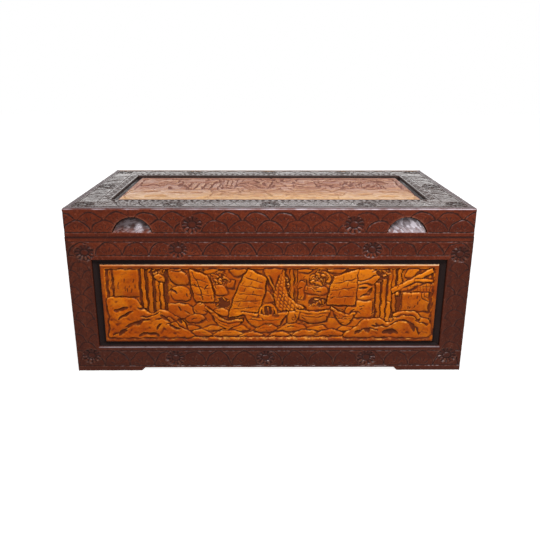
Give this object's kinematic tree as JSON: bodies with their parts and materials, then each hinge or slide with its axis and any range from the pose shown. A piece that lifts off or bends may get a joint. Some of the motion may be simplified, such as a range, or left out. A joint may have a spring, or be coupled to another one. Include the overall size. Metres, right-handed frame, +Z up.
{
  "type": "camphor chest",
  "caption": "Rectangular carved hardwood and camphor chest on bracket feet, with framed relief panels, finger pulls and a hinged lid.",
  "frame": {"origin": "on the floor under the middle of the chest", "axes": "+Z up, +X to the right along the chest's length as seen from its front, +Y towards its back; the front faces -Y"},
  "size_m": [0.91, 0.455, 0.4],
  "materials": {
    "stained_hardwood": "carved, stained dark red-brown and waxed",
    "carved_camphor": "carved in low relief under amber varnish, dark in the hollows",
    "ebonised_moulding": "ebonised, satin",
    "plain_camphor": "planed, unfinished",
    "aged_brass": "dull, slightly tarnished"
  },
  "bodies": {
    "carcase": {"back_board": "stained_hardwood", "front_bottom_rail": "stained_hardwood", "front_top_rail": "stained_hardwood", "front_left_stile": "stained_hardwood", "front_right_stile": "stained_hardwood", "left_end_bottom_rail": "stained_hardwood", "left_end_top_rail": "stained_hardwood", "left_end_back_stile": "stained_hardwood", "left_end_front_stile": "stained_hardwood", "right_end_bottom_rail": "stained_hardwood", "right_end_top_rail": "stained_hardwood", "right_end_front_stile": "stained_hardwood", "right_end_back_stile": "stained_hardwood", "front_panel": "carved_camphor", "left_end_panel": "carved_camphor", "right_end_panel": "carved_camphor", "front_bottom_moulding": "ebonised_moulding", "front_top_moulding": "ebonised_moulding", "front_left_moulding": "ebonised_moulding", "front_right_moulding": "ebonised_moulding", "left_end_bottom_moulding": "ebonised_moulding", "left_end_top_moulding": "ebonised_moulding", "left_end_back_moulding": "ebonised_moulding", "left_end_front_moulding": "ebonised_moulding", "right_end_bottom_moulding": "ebonised_moulding", "right_end_top_moulding": "ebonised_moulding", "right_end_front_moulding": "ebonised_moulding", "right_end_back_moulding": "ebonised_moulding", "front_board": "plain_camphor", "left_end_board": "plain_camphor", "right_end_board": "plain_camphor", "bottom_board_1": "plain_camphor", "bottom_board_2": "plain_camphor", "bottom_board_3": "plain_camphor", "left_cleat": "plain_camphor", "right_cleat": "plain_camphor", "front_lip": "plain_camphor", "left_lip": "plain_camphor", "right_lip": "plain_camphor", "left_hinge_carcase_leaf": "aged_brass", "right_hinge_carcase_leaf": "aged_brass", "left_hinge_pin": "aged_brass", "right_hinge_pin": "aged_brass"},
    "lid": {"lid_front_apron": "stained_hardwood", "lid_right_apron": "stained_hardwood", "lid_back_apron": "stained_hardwood", "lid_left_apron": "stained_hardwood", "lid_frame_front": "stained_hardwood", "lid_frame_right": "stained_hardwood", "lid_frame_back": "stained_hardwood", "lid_frame_left": "stained_hardwood", "lid_panel": "carved_camphor", "lid_front_moulding": "ebonised_moulding", "lid_back_moulding": "ebonised_moulding", "lid_left_moulding": "ebonised_moulding", "lid_right_moulding": "ebonised_moulding", "lid_board_1": "plain_camphor", "lid_board_2": "plain_camphor", "left_hinge_lid_leaf": "aged_brass", "right_hinge_lid_leaf": "aged_brass"}
  },
  "joints": [
    {"name": "lid_hinge", "type": "hinge", "parent": "carcase", "child": "lid", "pos_m": [0, 0.2225, 0.33385], "axis": [-1, 0, 0], "range_deg": [0, 95]}
  ]
}
